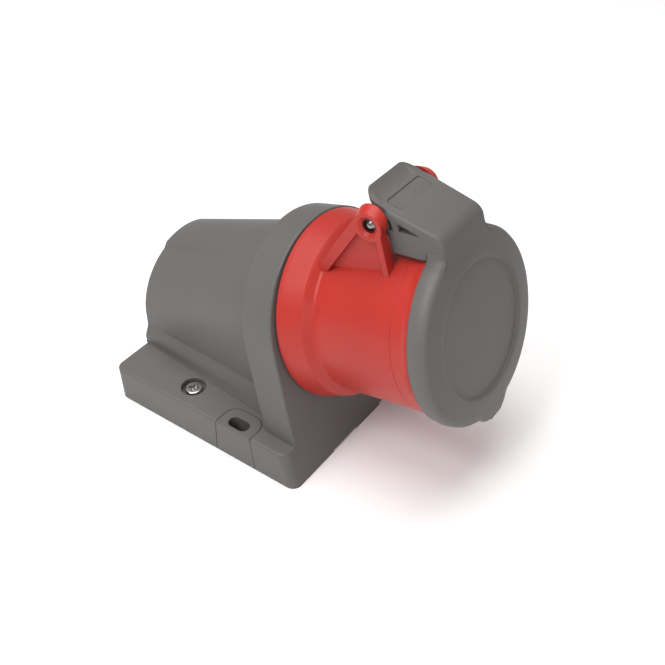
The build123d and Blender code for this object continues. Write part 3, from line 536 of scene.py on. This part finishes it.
def arm_top(along):
    """The arm's top face: a straight slope, from 53.6 mm up at 44 mm along."""
    return 0.0536 + ARM_SLOPE * (along - 0.0440)


def socket_places(mesh):
    """The mesh's vertices as (across, up, along) in the socket's frame."""
    flat = np.empty(len(mesh.vertices) * 3)
    mesh.vertices.foreach_get("co", flat)
    x, across, z = flat.reshape(-1, 3).T
    x, z = x - FACE_X, z - AXIS_HEIGHT
    return across, z * math.cos(TILT) - x * math.sin(TILT), x * math.cos(TILT) + z * math.sin(TILT)


def merged_copy(solid, name):
    """The same surface with its loose triangles joined, so that its vertices can be moved."""
    mesh = solid.data.copy()
    mesh.name = name
    work = bmesh.new()
    work.from_mesh(mesh)
    bmesh.ops.remove_doubles(work, verts=work.verts, dist=LOOSE_CORNERS)
    work.to_mesh(mesh)
    work.free()
    if "custom_normal" in mesh.attributes:
        mesh.attributes.remove(mesh.attributes["custom_normal"])
    mesh.shade_smooth()
    mesh.set_sharp_from_angle(angle=LID_CRISP_ANGLE)
    piece = bpy.data.objects.new(name, mesh)
    bpy.context.scene.collection.objects.link(piece)
    return piece


lid_moulding = merged_copy(nodes["lid"], "lid_moulding")
print("lid's copy:", len(lid_moulding.data.vertices), "vertices")

# %% [markdown]
# The thumb tab of the real lid is a small ski jump: a dished face that rises to a thin rim at
# the back, with rounded corners. The solid has a plainer bar there. So the bar is pressed
# flat, the shallow strip in front of it is widened, and the arm's sides come out to the tab's
# width. The arm's nose and the round recess in the lid's face are also deeper and softer than
# on the solid. Flat faces stay flat, because their points only slide in their own plane.

# %% The lid's points moved to their places
BAR_END, PRESSED = 0.0437, 0.0003
STRIP_HALF, STRIP_MIDDLE, STRIP_END, STRIP_DEPTH = 0.01045, 0.0465, 0.0494, 0.0008
STRIP_BACK, STRIP_FORWARD, STRIP_LIFT = -0.0003, 0.0006, 0.00020
SIDE_END, SIDE_RUN, SIDE_BOTTOM, SIDE_SHIFT = 0.0496, 0.0050, 0.046, 0.00095
SIDE_FROM, SIDE_FADE = 0.0105, 0.0015
RECESS_RADIUS, RECESS_LOW, RECESS_HIGH, RECESS_DEEPER = 0.0262, 0.0660, 0.0670, 0.0003
# The nose's arc: its centre, how that moves, which distances and degrees it has, and its growth.
NOSE_UP, NOSE_ALONG, NOSE_SHIFT_UP, NOSE_SHIFT_ALONG = 0.041683, 0.063609, -0.003064, -0.003250
NOSE_NEAR, NOSE_FAR, NOSE_FIRST, NOSE_LAST = 0.0005, 0.00187, 22.5, 64.2
NOSE_GROWTH = 0.0042


def flat_bar(up, along):
    """Points of the bar that are above the arm's top go just below it."""
    bar = (along < BAR_END) & (up > arm_top(along) - PRESSED)
    return np.where(bar, arm_top(along) - PRESSED, up)


def wide_strip(across, up, along):
    """The strip's rear half slides back and is lifted, and its front half slides forward."""
    strip = (np.abs(across) < STRIP_HALF) & (along > BAR_END) & (along < STRIP_END)
    strip = strip & (up > arm_top(along) - STRIP_DEPTH)
    rear = along < STRIP_MIDDLE
    lifted = strip & rear & (up < arm_top(along) - PRESSED)
    shift = np.where(strip, np.where(rear, STRIP_BACK, STRIP_FORWARD), 0.0)
    return up + shift * ARM_SLOPE + np.where(lifted, STRIP_LIFT, 0.0), along + shift


def wide_sides(across, up, along):
    """The sides move out in full by the tab, and less and less along the next 5 mm."""
    by_tab = np.clip((SIDE_END - along) / SIDE_RUN, 0, 1)
    outside = np.clip((np.abs(across) - SIDE_FROM) / SIDE_FADE, 0, 1)
    return across + np.sign(across) * SIDE_SHIFT * np.where(up > SIDE_BOTTOM, by_tab * outside, 0.0)


def deep_recess(across, up, along):
    """The recess's floor goes down along the socket's axis."""
    recess = (np.hypot(across, up) < RECESS_RADIUS) & (along > RECESS_LOW) & (along < RECESS_HIGH)
    return along - np.where(recess, RECESS_DEEPER, 0.0)


def round_nose(up, along):
    """Each point of the 1.8 mm arc moves by shift + growth * (p - centre) / |p - centre|, to a 6 mm arc."""
    away_up, away_along = up - NOSE_UP, along - NOSE_ALONG
    far = np.hypot(away_up, away_along) + 1e-9
    angle = np.degrees(np.arctan2(away_up, away_along))
    on_arc = (far > NOSE_NEAR) & (far < NOSE_FAR) & (angle > NOSE_FIRST) & (angle < NOSE_LAST)
    up = up + np.where(on_arc, NOSE_SHIFT_UP + NOSE_GROWTH * away_up / far, 0.0)
    along = along + np.where(on_arc, NOSE_SHIFT_ALONG + NOSE_GROWTH * away_along / far, 0.0)
    return up, along


across, up, along = socket_places(lid_moulding.data)
up = flat_bar(up, along)
wider = wide_sides(across, up, along)
up, along = wide_strip(across, up, along)
along = deep_recess(wider, up, along)
up, along = round_nose(up, along)
moved = in_part(wider, up, along)
before = in_part(*socket_places(lid_moulding.data))
print("points moved by up to", float(np.abs(moved - before).max().round(5)), "metres")
lid_moulding.data.vertices.foreach_set("co", moved.ravel())
lid_moulding.data.update()
lid_moulding.data.materials[0] = soft_grey_plastic
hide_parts("lid")
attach(lid_moulding, "lid")

# %% [markdown]
# The tab's skin has one closed profile for each place across it. Towards its two ends the
# rear edge comes forward on a quarter circle, which rounds the corners as seen from above,
# and the rim falls off in the same way. The rim sinks to the arm's top in front, and the dish
# is a curve from the rim to the arm.

# %% The thumb tab
TAB_HALF, TAB_REAR, TAB_FRONT, TAB_CORNER = 0.01370, 0.03722, 0.04385, 0.0050
RIM_RISE, RIM_END, RIM_RUN, RIM_WIDTH = 0.0019, 0.0440, 0.0068, 0.0009
DISH_HALF, DISH_FADE, MIDDLE_HALF = 0.0112, 0.0020, 0.0082


def tab_rim(along, crown):
    """The rim is 1.9 mm above the arm's top at the rear, and comes down to it in a soft curve."""
    return arm_top(along) + RIM_RISE * crown * np.clip((RIM_END - along) / RIM_RUN, 0, 1) ** 1.2


def tab_loops():
    """q = overhang / corner; crown = sqrt(1 - q^2); rear edge = tab's rear + corner * (1 - crown)."""
    right = TAB_HALF - TAB_CORNER + TAB_CORNER * np.sin(np.linspace(0, math.pi / 2, 14))
    across = np.concatenate([-right[::-1], np.linspace(-MIDDLE_HALF, MIDDLE_HALF, 9), right])[:, None]
    overhang = np.clip(np.abs(across) - (TAB_HALF - TAB_CORNER), 0, TAB_CORNER)
    crown = np.sqrt(np.clip(1 - (overhang / TAB_CORNER) ** 2, 0, 1))
    rear = TAB_REAR + TAB_CORNER * (1 - crown)
    w = soft(np.clip((DISH_HALF - np.abs(across)) / DISH_FADE, 0, 1))
    t = np.linspace(0.0, 1.0, 12)[None, :]
    edge = rear + RIM_WIDTH
    dish_along = edge + (TAB_FRONT - edge) * t
    low = arm_top(TAB_FRONT) - 0.00008 + 0.00014 * w
    high = tab_rim(edge, crown) - 0.00005
    hollow = low + (high - low) * ((1 - t) ** 1.6)
    dish_up = w * hollow + (1 - w) * (tab_rim(dish_along, crown) - 0.00005 - 0.00014 * t)
    # The lip is the rear edge, from inside the arm up to the rim, and the end goes back down.
    lip_along = rear + np.array([[0.0003, 0.0, 0.0, 0.00012, 0.00042]])
    foot, rim = arm_top(rear), tab_rim(rear, crown)
    lip_up = [foot - 0.0026, foot - 0.0016, rim - 0.0009, rim - 0.00040, rim - 0.00022]
    end_along = 0 * rear + TAB_FRONT + np.array([[0.0001, 0.00005]])
    end_up = arm_top(end_along) - np.array([[0.0006, 0.0026]])
    return in_part(across, np.concatenate([*lip_up, dish_up, end_up], axis=1),
                   np.concatenate([lip_along, dish_along, end_along], axis=1))


tab = skin("thumb_tab", tab_loops(), "lid", grey_plastic)
print("tab faces:", len(tab.data.polygons))

# %% [markdown]
# The lid's arm grows out of the round lid with soft inner corners, as a moulding has to. In
# a slice across the socket's axis the corner is an arc that touches the arm's flat side and
# the lid's round rim. The slice is worked out once for each place along the axis, because
# the rim's radius changes along it.

# %% Inner corners between the lid and its arm
ARM_HALF, CORNER_RADIUS = 0.0138, 0.0042
FACE_ALONG, FACE_RUN = 0.0650, 0.0022
RIM_ALONG = np.array([58.85, 60.7, 62.5, 63.8, 64.7, 65.2, 65.8, 66.3]) / 1000
RIM_RADIUS = np.array([36.9, 37.3, 37.4, 37.2, 37.1, 36.75, 36.3, 35.4]) / 1000


def corner_loops(side):
    """An arc that touches the plane across = arm's half width and the rim's circle."""
    along = np.linspace(RIM_ALONG[0], RIM_ALONG[-1], 19)[:, None]
    rim = np.interp(along, RIM_ALONG, RIM_RADIUS)
    corner = CORNER_RADIUS * np.sqrt(np.clip(1 - ((along - FACE_ALONG) / FACE_RUN).clip(0) ** 2, 0.15, 1))
    middle_across = ARM_HALF + corner
    middle_up = np.sqrt((rim + corner) ** 2 - middle_across ** 2)
    end = np.arctan2(-middle_up, -middle_across)
    a = -math.pi + (end + math.pi) * np.linspace(0.0, 1.0, 13)[None, :]
    # The last points are hidden inside the lid and its arm.
    inside = ARM_HALF - 0.0005 + 0 * rim
    low_up = np.sqrt(rim ** 2 - ARM_HALF ** 2) - 0.0010
    across = [middle_across + corner * np.cos(a), ARM_HALF + 0.5 * corner, inside, inside]
    up = [middle_up + corner * np.sin(a), low_up - 0.0004, low_up, middle_up - 0.0002]
    return in_part(side * np.concatenate(across, axis=1), np.concatenate(up, axis=1), along)


for word, side in SIDES:
    corner = skin(f"arm_corner_{word}", corner_loops(side), "lid", grey_plastic)
print("corner faces:", len(corner.data.polygons))

# %% [markdown]
# The small lip for lifting the lid is not a block stuck on the rim. The rim itself swells
# out over a few centimetres and back again. So the skin runs round the lid's lower edge, and
# at each angle its profile is a mix of the plain rim and the full lip.

# %% The lid's lifting lip
LIP_FULL, LIP_FADE = math.radians(8.2), math.radians(9.0)
LIP_REACH = 19.0


def lip_loops():
    """Profile(angle) = (1 - w) * rim + w * lip, with w a soft hump of the angle."""
    angle = np.radians(np.linspace(-LIP_REACH, LIP_REACH, 61))[:, None]
    w = soft(1 - np.clip((np.abs(angle) - LIP_FULL) / LIP_FADE, 0, 1))
    rim_r = np.array([34.00, 35.00, 35.40, 36.20, 36.95, 37.20, 37.30, 37.20, 36.6, 36.0, 35.8, 34.6])
    rim_s = np.array([66.42, 66.30, 66.18, 65.72, 64.70, 63.60, 62.60, 61.80, 61.9, 62.6, 64.6, 65.8])
    lip_r = np.array([34.00, 36.60, 38.10, 38.90, 39.35, 39.50, 39.50, 39.30, 38.4, 36.4, 36.0, 34.6])
    lip_s = np.array([66.44, 66.30, 66.16, 65.85, 65.30, 64.50, 62.80, 62.10, 61.8, 61.9, 64.6, 65.8])
    r = (rim_r + w * (lip_r - rim_r)) / 1000
    s = (rim_s + w * (lip_s - rim_s)) / 1000
    return in_part(r * np.sin(angle), -r * np.cos(angle), s)


lip = skin("lifting_lip", lip_loops(), "lid", grey_plastic)
print("lip faces:", len(lip.data.polygons))

# %% [markdown]
# The hinge pin is polished steel with domed ends, so each end shows a bright spot on the side
# of the light and is dark on the other side. A ring shaped like a retaining washer sits in each
# ear round the pin; its near-black colour is painted shade, standing in for the dark gap of the
# hole round the pin. Both are profiles turned about the pin's axis, which runs across the socket.

# %% Hinge pin and its washers
def turned_about_hinge(name, profile, finish):
    """Point = (across, hinge up + r sin a, hinge along + r cos a) for each (across, r)."""
    a = np.linspace(0, 2 * np.pi, 40, endpoint=False)[None, :]
    across, r = (np.array(column)[:, None] for column in zip(*profile))
    points = in_part(across + 0 * a, HINGE_UP + r * np.sin(a), HINGE_ALONG + r * np.cos(a))
    return dress(grid_mesh(name, points, close_columns=True), "housing", finish)


# The profiles are pairs of place across and radius.
half_pin = [(0.01792, 0.0), (0.01790, 0.0003), (0.01782, 0.0006), (0.01768, 0.0009), (0.01748, 0.0012),
            (0.01722, 0.0015), (0.01700, 0.0018), (0.01690, 0.00195), (0.0166, 0.0020)]
pin_profile = [(-x, r) for x, r in half_pin] + [(x, r) for x, r in reversed(half_pin)]
pin = turned_about_hinge("hinge_pin_turned", pin_profile, pin_chrome)
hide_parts("hinge_pin")
washer = [(0.01681, 0.00204), (0.01715, 0.00206), (0.01732, 0.00216), (0.01732, 0.00318),
          (0.01720, 0.00330), (0.01681, 0.00331), (0.01681, 0.00204)]
# The rings' near-black finish is painted shade for the dark gap of the ear's hole round the pin.
for word, side in SIDES:
    turned_about_hinge(f"pin_washer_painted_shade_{word}", [(side * x, r) for x, r in washer], painted_shade_steel)
print("pin faces:", len(pin.data.polygons))

# %% [markdown]
# Where the collar steps up to its flared mouth there is a soft seam. A thin band with a
# gently sloping profile lies in the step, so that it shades as a soft line and not as a cut.

# %% Seam round the collar
def seam_band():
    """Point = (r sin a, r cos a, s): a closed profile of radius r and place s, turned about the axis."""
    r = np.array([34.36, 34.52, 34.44, 34.40, 34.46, 34.60, 34.66, 34.30, 34.10])[None, :] / 1000
    s = np.array([49.30, 49.85, 50.10, 50.25, 50.42, 50.62, 51.10, 51.10, 50.20])[None, :] / 1000
    a = np.linspace(0, 2 * np.pi, 160, endpoint=False)[:, None]
    return in_part(r * np.sin(a), r * np.cos(a), s + 0 * a)


seam = grid_mesh("collar_seam", seam_band(), close_rows=True, close_columns=True)
dress(seam, "housing", red_plastic)
print("seam faces:", len(seam.data.polygons))
